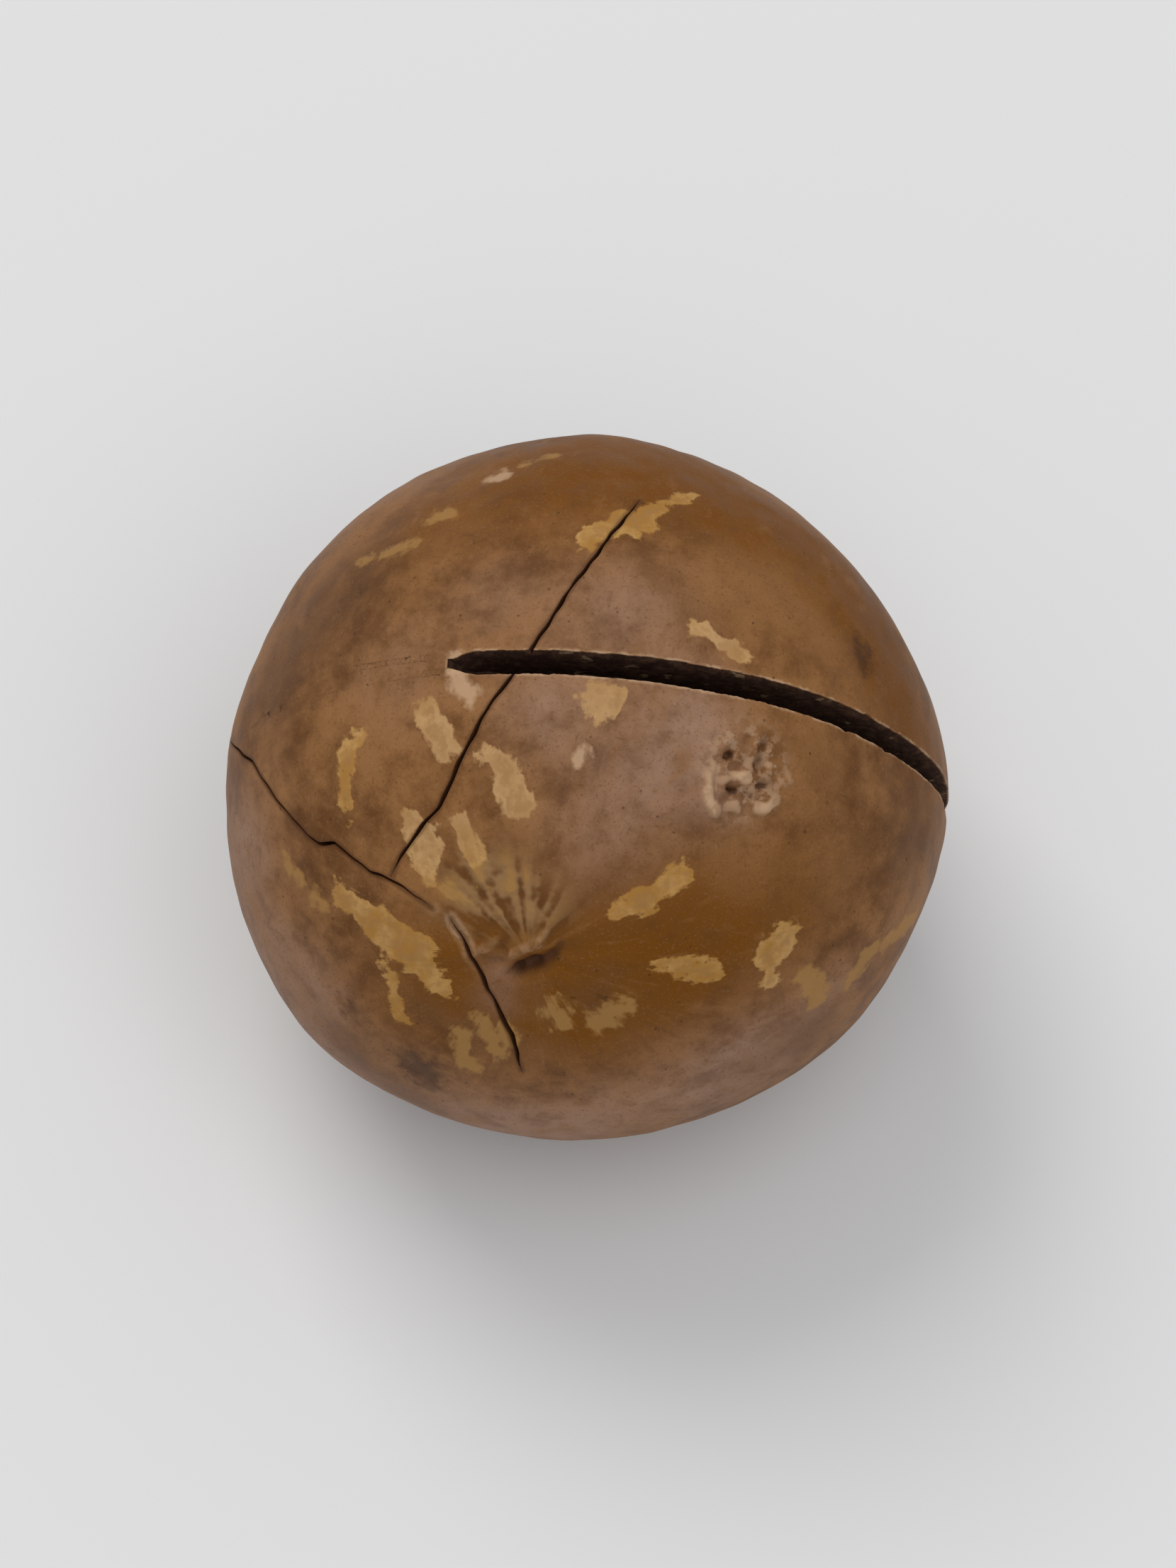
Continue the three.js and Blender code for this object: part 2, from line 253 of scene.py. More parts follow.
def scar_relief(ways):
    """The ridges less the pits, with ripples near the middle for the crust."""
    crust = crust_share(ways) * ripple(ways * MEAN_RADIUS, *CRUST_RIPPLE)
    return ridge_relief(ways) - pit_depth(ways) + crust


def shell_radius(ways):
    """Distance from the middle to the uncut surface: the radius of an ellipsoid, with bell-shaped
    swellings, ripples, and the relief of the nub and the scar."""
    half = np.array([NUT_WIDTH, NUT_DEPTH, NUT_HEIGHT]) / 2
    radius = 1 / np.linalg.norm(ways / half, axis=-1)
    for bearing, height, spread, rise in SWELLS:
        radius += rise * bell(degrees_from(ways, bearing_to(bearing, height)), spread)
    for row in RIPPLES:
        radius += ripple(ways * MEAN_RADIUS, *row)
    return radius + nub_relief(ways) + scar_relief(ways)


# The saw cut. A thin saw slit the shell over the crown and down the right side, so that a key can
# prise it open: straight walls, a floor that follows the shell, and edges a little broken.
CUT_HALF = 0.4
CUT_DEPTH = 2.2
CUT_START = -23.0  # degrees along the cut, from the crown
CUT_END = 125.0
CUT_RAMP = 9.0  # degrees over which the floor comes up
CUT_TAPER = 5.0  # degrees over which the walls draw in, to a share of their distance
CUT_TAPER_SHARE = 0.3
CUT_BEVEL = 0.05
EDGE_RISE = 0.008
EDGE_WAVES = (
    # waves along the edge: radians per degree, phase
    (1.31, 1.7),
    (2.9, -1.7),
    (6.3, 0.0),
)
EDGE_CHIPS = (
    # angle along the cut, spread (degrees), depth into the edge (mm), edge (-1 front, 1 back)
    (46.0, 0.7, 0.07, -1),
    (51.5, 0.9, 0.10, 1),
    (56.5, 0.6, 0.09, -1),
    (61.0, 0.9, 0.07, 1),
    (15.5, 0.6, 0.04, 1),
    (-6.0, 0.5, 0.04, -1),
    (83.0, 0.8, 0.08, -1),
    (101.0, 0.9, 0.10, 1),
)


def cut_depth(along):
    """The floor's depth: full, and curving up to 0 at each end as sqrt(1 - (1 - t)^2)."""
    from_end = np.minimum(along - CUT_START, CUT_END - along)
    ramp = np.clip(from_end / CUT_RAMP, 0, 1)
    return CUT_DEPTH * np.sqrt(1 - (1 - ramp) ** 2)


def edge_wobble(along, edge):
    """A sum of sine waves along the edge, with a bell for each chip broken out of it."""
    waves = sum(np.sin(along * pace + phase * edge) for pace, phase in EDGE_WAVES)
    broken = sum(depth * bell(along - at, spread) for at, spread, depth, on in EDGE_CHIPS if on == edge)
    return EDGE_RISE * waves + broken


def cut_half_width(along):
    """Half the slot's width, drawn in to a share of it over the taper at both ends."""
    from_end = np.minimum(along - CUT_START, CUT_END - along)
    return CUT_HALF * (CUT_TAPER_SHARE + (1 - CUT_TAPER_SHARE) * ease(from_end, 0, CUT_TAPER))


def edge_offset(along, edge):
    """Where the slot's edge meets the shell's surface, in millimetres from the cut's plane."""
    return cut_half_width(along) + CUT_BEVEL + edge_wobble(along, edge)


# The shell as one closed surface. Its rows run beside the cut and its columns across it, closer
# together at the nub and the scar; the rows between the cut's edges fold down into the slot.
COLUMNS_IN_CUT = 226
COLUMNS_OUTSIDE = 198
ROWS_FRONT = 112
ROWS_BACK = 82
WALL_ROWS = 9
FLOOR_ROWS = 6
SPACING_STEPS = 4001
COLUMN_CROWDS = (
    # angle along the cut, spread (degrees), how much closer the columns are
    (SCAR_PLACE[0], 7, 2.0),
    (NUB_PLACE[0], 7, 1.6),
    (195, 50, -0.25),
)
ROW_CROWDS = (
    # angle across the cut, spread (degrees), how much closer the rows are
    (SCAR_PLACE[1], 7, 1.8),
    (NUB_PLACE[1], 6, 1.5),
)
POLE_EASE = (68, 84)  # degrees across the cut
POLE_THINNING = 0.4
WALL_RIPPLE = (0.9, 0.012, 31)  # wavelength (mm), rise (mm), seed
WALL_RIPPLE_PACE = 0.2  # mm for each degree along the cut
FLAT_HEIGHT = -11.8  # from the middle of the nut
FLAT_SOFTNESS = 0.04
FLAT_REACH = 1.0


def spaced(low, high, count, weight):
    """Angles from low to high, closer together where weight(angle) is large: even steps of the
    running sum of the weight."""
    fine = np.linspace(low, high, SPACING_STEPS)
    share = weight(fine)
    running = np.concatenate([[0], np.cumsum((share[1:] + share[:-1]) / 2)])
    return np.interp(np.linspace(0, running[-1], count), running, fine)


def crowded(angles, crowds):
    """1 and a bell for each place where rows or columns lie closer together."""
    weight = 1.0
    for at, spread, extra in crowds:
        weight = weight + extra * bell(angles - at, spread)
    return weight


def column_weight(along):
    """More at the angles of the scar and the nub, and less round the hidden underside."""
    return crowded(along, COLUMN_CROWDS)


def row_weight(across):
    """More at the angles of the scar and the nub, and less at the poles."""
    return crowded(across, ROW_CROWDS) - POLE_THINNING * ease(np.abs(across), *POLE_EASE)


def outer_rows(along, edge, count):
    """Points of the shell from a pole to the slot's edge: the rows' angles are scaled so that the
    last row lies on the edge. Outside the cut the same rows run on at the slot's mean edge."""
    last = np.degrees(edge_offset(along, edge) / MEAN_RADIUS)
    fixed = np.degrees((CUT_HALF + CUT_BEVEL) / MEAN_RADIUS)
    angles = spaced(fixed, 90, count, lambda angle: row_weight(edge * angle))[:-1]
    across = 90 - (90 - angles[:, None]) * (90 - last) / (90 - fixed)
    ways = towards(along[None, :], edge * across)
    return ways * shell_radius(ways)[..., None]


def slot_rows(along):
    """Points of the slot: down the front wall, over the floor and up the back wall. Where there
    is no cut, the rows lie evenly on the shell instead."""
    deep = np.concatenate([np.linspace(0, 1, WALL_ROWS + 1)[1:], np.ones(FLOOR_ROWS),
                           np.linspace(1, 0, WALL_ROWS + 1)[:-1]])
    side = np.concatenate([-np.ones(WALL_ROWS), np.linspace(-1, 1, FLOOR_ROWS + 2)[1:-1],
                           np.ones(WALL_ROWS)])
    depth = CUT_BEVEL + deep[:, None] * (cut_depth(along)[None, :] - CUT_BEVEL)
    middle = towards(along, np.zeros_like(along))
    radius = shell_radius(middle)[None, :] - depth
    place = np.stack(np.broadcast_arrays(radius, along * WALL_RIPPLE_PACE, side[:, None]), -1)
    offset = side[:, None] * (cut_half_width(along)[None, :] + ripple(place, *WALL_RIPPLE))
    slot = middle[None] * radius[..., None] + offset[..., None] * cut_back
    even = np.linspace(-1, 1, side.size + 2)[1:-1]
    even_angle = np.degrees(even[:, None] * (CUT_HALF + CUT_BEVEL) / MEAN_RADIUS)
    ways = towards(along[None, :], even_angle)
    whole = ways * shell_radius(ways)[..., None]
    open_here = (cut_depth(along) > CUT_BEVEL)[None, :, None]
    return np.where(open_here, slot, whole)


def wear_flat(points):
    """Raises what lies below the flat spot onto it: a soft maximum of the height and the flat."""
    gap = points[:, 2] - FLAT_HEIGHT
    raised = (gap + np.sqrt(gap**2 + FLAT_SOFTNESS**2)) / 2
    worn = points.copy()
    worn[:, 2] = np.where(gap < FLAT_REACH, FLAT_HEIGHT + raised, points[:, 2])
    return worn


def closed_faces(rows, columns, first_pole, last_pole):
    """Quads between neighbouring rows, joined round the last column to the first, and a fan of
    triangles at each pole."""
    number = np.arange(rows * columns).reshape(rows, columns)
    onward = np.roll(number, -1, axis=1)
    quads = np.stack([number[:-1], onward[:-1], onward[1:], number[1:]], -1).reshape(-1, 4)
    first = np.stack([np.full(columns, first_pole), onward[0], number[0]], -1)
    last = np.stack([np.full(columns, last_pole), number[-1], onward[-1]], -1)
    return quads, np.concatenate([first, last])


def mesh_from_faces(name, points, quads, triangles):
    """A mesh in metres of the given points in millimetres, quads and triangles."""
    mesh = bpy.data.meshes.new(name)
    corners = np.concatenate([quads.ravel(), triangles.ravel()])
    starts = np.concatenate([np.arange(len(quads)) * 4, len(quads) * 4 + np.arange(len(triangles)) * 3])
    mesh.vertices.add(len(points))
    mesh.vertices.foreach_set("co", (points * MM).ravel())
    mesh.loops.add(len(corners))
    mesh.loops.foreach_set("vertex_index", corners)
    mesh.polygons.add(len(starts))
    mesh.polygons.foreach_set("loop_start", starts)
    mesh.update(calc_edges=True)
    return mesh


def shell_mesh():
    """The front rows from pole to edge, the slot's rows, and the back rows from edge to pole."""
    inside = spaced(CUT_START, CUT_END, COLUMNS_IN_CUT, column_weight)
    outside = spaced(CUT_END, CUT_START + 360, COLUMNS_OUTSIDE, column_weight)[1:-1]
    along = np.concatenate([inside, outside])
    front = outer_rows(along, -1, ROWS_FRONT)[::-1]
    back = outer_rows(along, 1, ROWS_BACK)
    grid = np.concatenate([front, slot_rows(along), back])
    rows, columns = grid.shape[:2]
    poles = np.stack([-cut_back, cut_back])
    poles = poles * shell_radius(poles)[:, None]
    points = np.concatenate([grid.reshape(-1, 3), poles])
    quads, fans = closed_faces(rows, columns, rows * columns, rows * columns + 1)
    return mesh_from_faces("shell", wear_flat(points), quads, fans)


nut = bpy.data.objects.new("shell", shell_mesh())
bpy.context.scene.collection.objects.link(nut)


# The hairline cracks. The shell split from the saw cut and from the nub as it was roasted: narrow
# wedges with uneven sides, cut out of the shell.
CRACK_DEPTH = 0.4
CRACK_ABOVE = 0.2
CRACK_STEP = 0.16
CRACK_SWERVES = (
    # wavelength (mm), distance to the side (mm)
    (2.4, 0.022),
    (0.8, 0.011),
)
CRACK_UNEVENNESS = (1.1, 0.18)  # wavelength (mm), share of the width
TIP_LENGTH = 1.6
TIP_LEAST = 0.12  # share of the width at the very tip
TIP_POWER = 0.6
CRACKS = (
    # seed, width (mm), places along and across the cut (degrees)
    (50, 0.14, ((7.5, 35), (3, 26.5), (-1.5, 18), (-5, 10.5), (-8.5, 3.5), (-12, -2.5), (-15.5, -7.5),
                (-18.5, -13), (-21.5, -18), (-24.5, -23), (-30.5, -27.5), (-34, -30), (-37, -33))),
    (60, 0.12, ((-80, 0), (-67, -7.5), (-62.5, -13), (-57.5, -19), (-54, -23), (-51.5, -25),
                (-48, -25.5), (-44.5, -29), (-41.5, -31.5), (-37, -33.5), (-33.5, -36), (-29.5, -39))),
    (70, 0.22, ((-26, -41), (-24, -45.5), (-22, -51.5), (-21, -57), (-20, -63.5), (-23, -72.5))),
)


def resampled(path, step):
    """Points at even steps of length along a path of straight pieces, with their lengths."""
    piece = np.linalg.norm(np.diff(path, axis=0), axis=1)
    length = np.concatenate([[0], np.cumsum(piece)])
    at = np.linspace(0, length[-1], int(length[-1] / step) + 2)
    return np.stack([np.interp(at, length, path[:, axis]) for axis in range(3)], -1), at


def crack_mesh(seed, width, places):
    """A wedge carried along the crack: at each step two corners above the shell and one below,
    with a swerving line and a width that tapers to both tips."""
    places = np.array(places, float)
    path, at = resampled(towards(places[:, 0], places[:, 1]) * MEAN_RADIUS, CRACK_STEP)
    ahead = np.gradient(path, axis=0)
    way = path / np.linalg.norm(path, axis=1, keepdims=True)
    side = np.cross(ahead, way)
    side /= np.linalg.norm(side, axis=1, keepdims=True)
    swerve = sum(ripple(path, *wave, seed + number) for number, wave in enumerate(CRACK_SWERVES))
    path = path + side * swerve[:, None]
    way = path / np.linalg.norm(path, axis=1, keepdims=True)
    tip = np.clip(np.minimum(at, at[-1] - at) / TIP_LENGTH, TIP_LEAST, 1) ** TIP_POWER
    half = width / 2 * tip * (1 + ripple(path, *CRACK_UNEVENNESS, seed + len(CRACK_SWERVES)))
    flare = 1 + CRACK_ABOVE / CRACK_DEPTH
    radius = shell_radius(way)
    top = way * (radius + CRACK_ABOVE)[:, None]
    bottom = way * (radius - CRACK_DEPTH * tip)[:, None]
    left, right = top - side * (half * flare)[:, None], top + side * (half * flare)[:, None]
    points = np.stack([left, right, bottom], 1).reshape(-1, 3)
    ring = np.arange(len(path) * 3).reshape(-1, 3)
    onward = np.roll(ring, -1, axis=1)
    quads = np.stack([ring[:-1], onward[:-1], onward[1:], ring[1:]], -1).reshape(-1, 4)
    caps = np.array([ring[0, ::-1], ring[-1]])
    return mesh_from_faces("crack", points, quads, caps)


def split(piece, cutter):
    """Takes the cutter's solid out of the piece's mesh."""
    bpy.context.scene.collection.objects.link(cutter)
    modifier = piece.modifiers.new("crack", "BOOLEAN")
    modifier.operation = "DIFFERENCE"
    modifier.solver = "MANIFOLD"
    modifier.object = cutter
    view = bpy.context.evaluated_depsgraph_get()
    cut = bpy.data.meshes.new_from_object(piece.evaluated_get(view))
    piece.modifiers.clear()
    piece.data = cut
    bpy.data.objects.remove(cutter)


for crack in CRACKS:
    split(nut, bpy.data.objects.new("crack", crack_mesh(*crack)))


# What is known at each point of the finished shell, for its marks and its finish: how deep it
# lies in a cut, how far it stands out, and how near it is to the edges and cracks.
FIELD_REACH = 2.0  # the longest distance kept
DEGREES_PER_RAY_UNIT = 100


def read_points(mesh):
    """The mesh's points in millimetres."""
    flat = np.empty(len(mesh.vertices) * 3)
    mesh.vertices.foreach_get("co", flat)
    return flat.reshape(-1, 3) / MM


def keep_field(mesh, name, values):
    """Stores a number or a vector for each point under a name that the material reads."""
    kind, key = ("FLOAT", "value") if values.ndim == 1 else ("FLOAT_VECTOR", "vector")
    kept = mesh.attributes.new(name, kind, "POINT")
    kept.data.foreach_set(key, values.astype(np.float32).ravel())


def along_and_across(ways):
    """The two angles of ways: atan2(side, up), from -180 to 180, and arcsin(back), in degrees."""
    along = np.degrees(np.arctan2(ways @ cut_side, ways @ cut_up))
    return along, np.degrees(np.arcsin(np.clip(ways @ cut_back, -1, 1)))


def distance_to_line(points, start, end):
    """Distance from points to a straight piece: to start + t (end - start), t held in 0 to 1."""
    run = end - start
    share = np.clip((points - start) @ run / (run @ run), 0, 1)
    return np.linalg.norm(points - start - share[:, None] * run, axis=1)


points = read_points(nut.data)
reach = np.linalg.norm(points, axis=1)
ways = points / reach[:, None]
on_ball = ways * MEAN_RADIUS
along, across = along_and_across(ways)
below = np.clip(shell_radius(ways) - reach, 0, None)
below[points[:, 2] < FLAT_HEIGHT + FLAT_REACH] = 0  # worn, not cut
keep_field(nut.data, "below_skin", below)

offset = np.abs(points @ cut_back)
beyond_end = np.clip(np.maximum(CUT_START - along, along - CUT_END), 0, None) * MM_PER_DEGREE
past_edge = np.clip(offset - CUT_HALF - CUT_BEVEL, 0, None)
keep_field(nut.data, "from_edge", np.clip(np.hypot(past_edge, beyond_end), 0, FIELD_REACH))

near_crack = np.full(len(points), FIELD_REACH)
for _, _, places in CRACKS:
    places = np.array(places, float)
    corners = towards(places[:, 0], places[:, 1]) * MEAN_RADIUS
    for start, end in zip(corners[:-1], corners[1:]):
        near_crack = np.minimum(near_crack, distance_to_line(on_ball, start, end))
keep_field(nut.data, "from_crack", near_crack)

keep_field(nut.data, "ridges", ridge_relief(ways))
keep_field(nut.data, "pits", pit_depth(ways))
keep_field(nut.data, "pit_shade", pit_shade(ways))
keep_field(nut.data, "crust", crust_share(ways))
keep_field(nut.data, "folds", fold_relief(ways))
nub_distance, nub_turn = place_on_patch(nub_patch, ways)
along_ray = nub_distance / DEGREES_PER_RAY_UNIT
keep_field(nut.data, "rays", np.stack([np.cos(nub_turn), np.sin(nub_turn), along_ray], -1))


# The marks of the skin. Golden flecks where the pale inner layer of the husk stayed on the shell,
# fainter ones, pale strokes that are partly painted glints, and broad clouds of ochre, of greyish
# bloom that is partly painted sheen, of umber that is partly painted shade, and of dark stain.
FLECKS = {
    # each stroke: along, across, along, across (degrees), half width (mm)
    "gold": (
        (-1.5, 24, 5, 29, 0.5), (6, 26.5, 11, 33.5, 0.36), (11.5, 34.5, 19, 39, 0.24),
        (-26, -7.5, -22.5, -13.5, 0.5),
        (-39.5, -10.5, -42, -13.5, 0.44), (-43, -14.5, -42.5, -21, 0.32),
        (-15.5, -14.5, -12.5, -19, 0.38), (-12.5, -19, -10, -23, 0.56),
        (-21, -26, -18.5, -32, 0.26),
        (-30.5, -24.5, -31, -29, 0.3), (-28, -26.5, -26.5, -30.5, 0.4), (-31, -30, -28.5, -34, 0.26),
        (-50, -34, -43.5, -41, 0.5), (-43.5, -41, -37, -46, 0.78), (-35.5, -46.5, -35.5, -53, 0.44),
        (-47, -47, -54, -56.5, 0.26),
        (10, -39.5, 15.5, -37, 0.3), (14.5, -37, 20, -32, 0.5),
        (23, -47, 34, -46.5, 0.45),
        (46.5, -40, 47.5, -36.5, 0.6), (48, -42, 52, -44.5, 0.24),
        (1.5, -4.5, 4.5, -4.5, 0.34), (5, -5.5, 4.5, -7.5, 0.36), (1.2, -5.5, 2.2, -8, 0.4),
        (16.5, 7.5, 18.5, 9, 0.28), (18.5, 9, 21, 6.5, 0.22), (21, 6.5, 25.5, 5, 0.3),
    ),
    "faint_gold": (
        (-38.5, -62, -46, -68.5, 0.4), (-28.5, -60.5, -29, -67.5, 0.34), (-20.5, -62, -21, -65, 0.26),
        (60.5, -40.5, 70, -43, 0.46), (74.5, -36, 73, -31, 0.36), (77, -27.5, 84.5, -20.5, 0.38),
        (-4, -57.5, -1, -61.5, 0.4), (10.5, -60.5, 16, -56.5, 0.46), (-32, 31, -30, 31, 0.44),
        (-60, -28.5, -57, -34, 0.22), (-61.5, -24, -62.5, -27, 0.22),
        (-45, 22, -34.5, 24, 0.24), (-20, 45.5, -14.5, 49, 0.16),
        (-25.5, -36, -22.5, -38.5, 0.22), (-18, -34, -17.5, -35.5, 0.2),
    ),
    # pale: small pale strokes, partly painted glints
    "pale_and_glints": (
        (-24.5, 41.8, -23, 42.6, 0.42), (-21.5, -3, -18.5, -5.5, 0.34),
        (-0.3, -14.5, 0, -16, 0.24),
    ),
}
VIEW_BEARING = -85.8  # degrees: where the camera stands
VIEW_HEIGHT = 64.0
HIDDEN_LIMIT = 0.12
HIDDEN_FLECKS = 46
HIDDEN_SEED = 8
HIDDEN_DRAWS = 6  # ways drawn for each fleck that is kept
HIDDEN_SCATTER = 0.35
HIDDEN_LENGTH = (0.5, 2.3)
HIDDEN_LENGTH_POWER = 1.2
HIDDEN_HALF_WIDTH = (0.22, 0.6)
CLOUDS = {
    # each patch: along, across, spread (degrees), strength
    "ochre": (
        (-11.5, 43.5, 18, 1.0), (14, 46.5, 15, 0.8), (27.5, 38.5, 12, 0.8), (39, 33, 12, 0.8),
        (49.5, 24, 14, 1.0), (57, 13.5, 10, 0.8), (65.5, 4, 10, 0.6), (-33, 28.5, 10, 0.5),
        (12.5, -48.5, 18, 1.0), (-3.5, -56, 12, 0.8), (-24.5, -51.5, 12, 1.0), (28, -42, 13, 0.8),
        (46, -32, 11, 0.6), (-50.5, -53, 9, 0.4), (150, 30, 30, 0.8), (-120, 35, 28, 0.7),
        (160, -30, 24, 0.8),
    ),
    # bloom: greyish patches, partly painted sheen and painted reflection on the top and the rims
    "bloom_and_sheen": (
        (-124, -62, 14, 1.0), (-125.5, -76, 12, 1.0), (179.5, -86, 10, 1.0), (80, -65.5, 13, 1.0),
        (75, -53.5, 10, 0.9), (76, -40.5, 8, 0.5), (-77, -17.5, 9, 0.9), (-95.5, -26.5, 12, 1.0),
        (-101.5, -39, 12, 1.0), (-108.5, -49.5, 12, 1.0), (-74, -44.5, 8, 0.7),
        (17.5, -6.5, 8, 1.0), (12.5, -17.5, 9, 0.6), (-5, -8, 8, 0.8), (4, -27.5, 10, 0.5),
        (24.5, -18.5, 6, 0.5), (6, 10, 10, 0.6), (-15, 12, 8, 0.3), (-32, -1, 9, 0.3),
        (-17, -50.5, 3.2, 0.6), (-20.5, -56.5, 4, 0.45), (-70.5, -21, 5, 0.5),
        (-76, -34, 5, 0.5), (45, -80, 7, 0.4),
        (110, 5, 20, 0.7), (-150, 0, 22, 0.6), (180, 55, 20, 0.7), (-75, 45, 16, 0.4),
    ),
    "tan": (
        (10, 13.5, 7, 0.5), (21.5, 15.5, 8, 0.9), (32.5, 18.5, 8, 1.0), (41, 12, 6, 0.6),
        (38.5, -8.5, 8, 1.0), (33.5, -29, 7, 0.6), (51, -23.5, 8, 0.6), (-160, 40, 18, 0.8),
        (140, -15, 16, 0.7),
    ),
    # umber: darker brown patches, partly painted shade on the lower rims and on the upper left
    "umber_and_shade": (
        (-57, 10.5, 9, 1.0), (-47.5, 18, 9, 0.9), (-63.5, 3.5, 8, 0.6), (-105.5, -63, 8, 1.0),
        (-86.5, -53, 6, 0.8), (-29, -67, 6, 0.6), (79.5, -47.5, 7, 1.0), (77, -59, 5, 0.5),
        (69, -12.5, 7, 1.0), (-4, -40, 4, 0.7), (8, -54.5, 4, 0.7), (-42.5, -56, 4, 0.6),
        (-13, -31, 3.5, 0.5), (-32.5, -62, 3, 0.6), (120, 20, 14, 0.6), (-170, -40, 14, 0.6),
    ),
    "stain": (
        (-66, -64, 6, 0.8), (-77.5, -67, 5, 0.6), (-68, -50, 4, 0.7), (51, 12.5, 4.5, 1.0),
        (10.5, -55, 2.2, 0.6),
        (-44.5, 15.5, 4, 0.5), (-53.5, 0.5, 4.5, 0.4), (-27, 18.5, 5, 0.4), (130, 40, 7, 0.7),
        (-140, 20, 6, 0.7), (170, -10, 8, 0.6),
    ),
    "faded": (
        (-22, -12, 12, 1.0), (-12, -20, 10, 1.0), (-29, -28, 7, 0.8), (3, -6, 9, 1.0), (21, 7, 8, 1.0),
        (60, -42, 8, 0.6), (-60, -30, 8, 0.6),
    ),
    "streaked": (
        (-19, -36, 6, 1.0), (-13, -38, 6, 0.9), (-5, -40, 4.5, 0.6),
    ),
    "lipped": (
        (-25.5, -43.5, 4.5, 1.0),
    ),
}


def stroke_ends(strokes):
    """The strokes' two ends on the ball, and their half widths."""
    strokes = np.array(strokes, float)
    start = towards(strokes[:, 0], strokes[:, 1]) * MEAN_RADIUS
    end = towards(strokes[:, 2], strokes[:, 3]) * MEAN_RADIUS
    return start, end, strokes[:, 4]


def hidden_strokes():
    """Seeded strokes on the sides that the photograph doesn't show, drawn out from the nub: ways
    drawn evenly, kept where their product with the way to the camera is below a limit."""
    draw = np.random.default_rng(HIDDEN_SEED)
    way = draw.normal(size=(HIDDEN_FLECKS * HIDDEN_DRAWS, 3))
    way /= np.linalg.norm(way, axis=1, keepdims=True)
    way = way[way @ bearing_to(VIEW_BEARING, VIEW_HEIGHT) < HIDDEN_LIMIT][:HIDDEN_FLECKS]
    outward = way - nub_patch[0] * (way @ nub_patch[0])[:, None]
    outward += draw.normal(size=outward.shape) * HIDDEN_SCATTER
    outward -= way * (way * outward).sum(1, keepdims=True)
    outward /= np.linalg.norm(outward, axis=1, keepdims=True)
    length = draw.uniform(*HIDDEN_LENGTH, len(way)) ** HIDDEN_LENGTH_POWER
    start = way * MEAN_RADIUS
    return start, start + outward * length[:, None], draw.uniform(*HIDDEN_HALF_WIDTH, len(way))


def fleck_field(start, end, half):
    """How far inside the nearest stroke a point lies, in millimetres: half width - distance."""
    inside = np.full(len(on_ball), -1.0)
    for from_point, to_point, width in zip(start, end, half):
        inside = np.maximum(inside, width - distance_to_line(on_ball, from_point, to_point))
    return inside


def cloud_field(patches):
    """The sum of bell-shaped patches, held to 1."""
    total = 0
    for *place, spread, strength in patches:
        total = total + strength * bell(degrees_from(ways, towards(*np.array(place, float))), spread)
    return np.clip(total, 0, 1)


hidden = hidden_strokes()  # golden and faint ones by turns
for name, strokes in FLECKS.items():
    field = fleck_field(*stroke_ends(strokes))
    if name == "gold":
        field = np.maximum(field, fleck_field(*(part[::2] for part in hidden)))
    if name == "faint_gold":
        field = np.maximum(field, fleck_field(*(part[1::2] for part in hidden)))
    keep_field(nut.data, name, field)
for name, patches in CLOUDS.items():
    keep_field(nut.data, name, cloud_field(patches))


# The shell's finish. Roasted shell is a warm brown with a satin polish, streaked outwards from the
# nub and mottled; the cut's walls are charred dark and darkened further with painted shade, and its
# rubbed edges are pale.
BROWN_DARK = (0.125, 0.048, 0.012)
BROWN_LIGHT = (0.300, 0.138, 0.048)
OCHRE = (0.178, 0.060, 0.002)
# Umber, partly painted shade
UMBER_AND_SHADE = (0.130, 0.058, 0.022)
# Greyish bloom, partly painted sheen and painted reflection
BLOOM_AND_SHEEN = (0.355, 0.214, 0.146)
STAIN = (0.046, 0.018, 0.008)
GOLD = (0.550, 0.312, 0.104)
GOLD_DEEP = (0.390, 0.190, 0.040)
GOLD_FAINT = (0.400, 0.215, 0.065)
GOLD_THIN = (0.350, 0.185, 0.066)
STREAK = (0.320, 0.180, 0.075)
PALE = (0.560, 0.360, 0.210)
CRUST = (0.430, 0.270, 0.160)
# Painted shade in the pits of the scar and the hollows of the nub
HOLLOW_SHADE = (0.075, 0.030, 0.016)
# The cut's walls: charred, and darkened further with painted shade
CHARRED_AND_SHADE = (0.045, 0.022, 0.015)
WALL = (0.110, 0.055, 0.032)
WALL_FLECK = (0.300, 0.200, 0.110)
CRACK_BROWN = (0.070, 0.026, 0.011)
SPACE_NOISES = {
    # noise through space: scale (per mm), detail, roughness
    "broad": (0.26, 4.0, 0.55),
    "middle": (0.9, 5.0, 0.6),
    "lumps": (1.4, 2.0, 0.55),
    "outline": (1.5, 3.0, 0.55),
    "porous": (1.5, 2.0, 0.55),
    "specks": (1.6, 2.0, 0.55),
    "crumb": (2.3, 3.0, 0.6),
    "wall": (3.0, 5.0, 0.7),
    "fine": (5.0, 4.0, 0.6),
    "grain": (11.0, 2.0, 0.5),
    "tooth": (14.0, 3.0, 0.55),
}
RAY_NOISES = {
    # noise drawn out along the rays of the nub: scale, detail, roughness
    "comb": (4.0, 1.0, 0.55),
    "streak": (9.0, 5.0, 0.65),
    "fingers": (15.0, 3.0, 0.6),
}
BROAD_SHARE = 0.5
COMB_SHARE = 0.6
